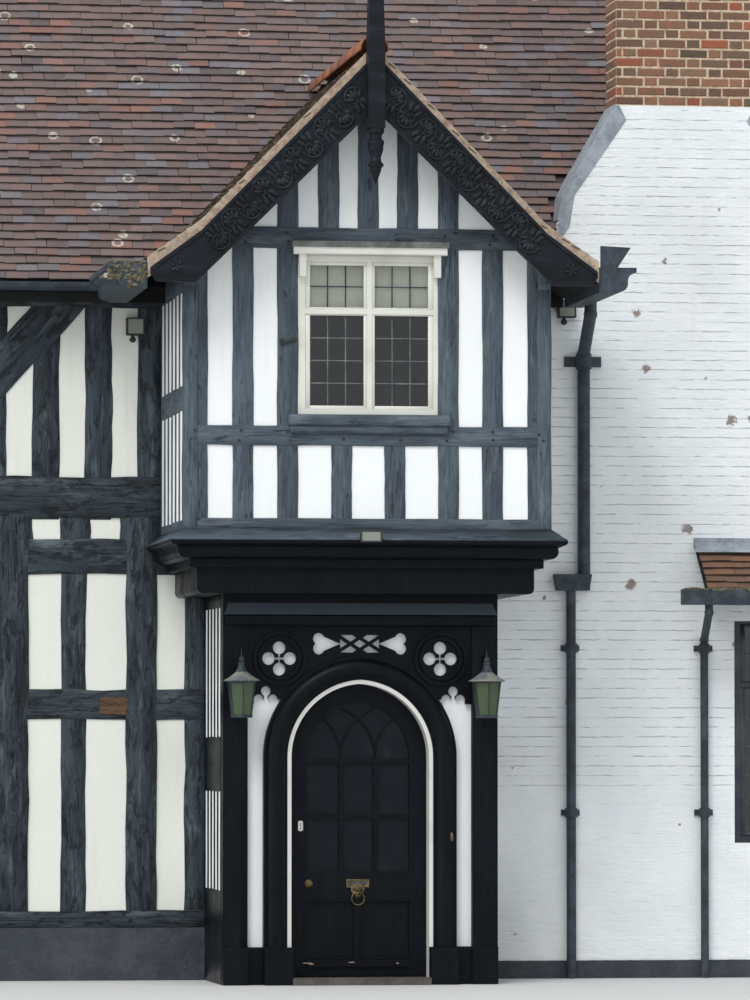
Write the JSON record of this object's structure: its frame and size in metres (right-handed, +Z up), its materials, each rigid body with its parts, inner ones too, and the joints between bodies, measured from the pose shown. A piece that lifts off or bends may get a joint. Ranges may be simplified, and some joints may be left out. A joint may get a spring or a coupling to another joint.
{
  "type": "half timbered house",
  "caption": "Half timbered house range with a jettied two storey porch, carved bargeboards, an arched front door that opens and a brick chimney stack.",
  "frame": {"origin": "on the ground in the middle of the doorway, in the plane of the lower porch front", "axes": "+X to the right along the front, +Y into the house, +Z up"},
  "size_m": [11.3, 8.471, 11.05],
  "materials": {
    "weathered_timber": "old oak in weathered grey black paint",
    "gloss_timber": "timber in black gloss paint",
    "plaster": "white limewashed plaster",
    "white_paint": "white gloss paint",
    "cream_paint": "cream white paint",
    "painted_brick": "brickwork in white masonry paint",
    "chimney_brick": "hand made red brown brick with sandy mortar",
    "terracotta": "unglazed clay",
    "roof_tiles": "weathered plain clay tiles",
    "porch_tiles": "mossy plain clay tiles",
    "ridge_clay": "orange clay ridge tiles",
    "lead": "weathered lead sheet",
    "painted_plinth": "stone plinth in dark masonry paint",
    "floor_stone": "worn stone flags",
    "floor_boards": "oak boards",
    "threshold_stone": "worn stone",
    "glass": "old window glass",
    "brass": "aged brass",
    "black_iron": "cast iron in black gloss paint",
    "lantern": "painted metal lantern with green glass",
    "lamp_housing": "black lamp housing"
  },
  "bodies": {
    "house": {"plinth": "painted_plinth", "ground_floor": "floor_stone", "upper_floor": "floor_boards", "front_frame_lower": "weathered_timber", "front_plaster_lower": "plaster", "front_frame_upper": "weathered_timber", "front_plaster_upper": "plaster", "left_gable_frame": "weathered_timber", "left_gable_plaster": "plaster", "back_frame": "weathered_timber", "back_plaster": "plaster", "right_gable_wall": "painted_brick", "front_wall_right": "painted_brick", "chimney_stack": "chimney_brick", "chimney_pots": "terracotta", "lead_flashing": "lead", "main_roof_front": "roof_tiles", "main_roof_back": "roof_tiles", "ridge_tiles": "ridge_clay", "porch_front_frame": "gloss_timber", "porch_front_plaster": "plaster", "porch_side_frames": "weathered_timber", "porch_side_plaster": "plaster", "door_arch": "gloss_timber", "door_lining": "white_paint", "door_tracery": "gloss_timber", "door_threshold": "threshold_stone", "door_pintles": "black_iron", "jetty": "gloss_timber", "porch_soffit": "plaster", "porch_upper_frame": "weathered_timber", "porch_upper_plaster": "plaster", "window_frames": "cream_paint", "window_glass": "glass", "porch_roof": "porch_tiles", "bargeboards": "weathered_timber", "finial_post": "weathered_timber", "gutters_and_pipes": "black_iron", "canopy": "porch_tiles", "lanterns": "lantern", "floodlights": "lamp_housing"},
    "door": {"front_door": "gloss_timber", "door_glass": "glass", "door_furniture": "brass"},
    "knocker": {"knocker_ring": "brass"}
  },
  "joints": [
    {"name": "door_hinge", "type": "hinge", "parent": "house", "child": "door", "pos_m": [0.56, 0.226, 0], "axis": [0, 0, -1], "range_deg": [0, 95]},
    {"name": "knocker_hinge", "type": "hinge", "parent": "door", "child": "knocker", "pos_m": [0, 0.146, 0.68], "axis": [-1, 0, 0], "range_deg": [0, 70]}
  ]
}
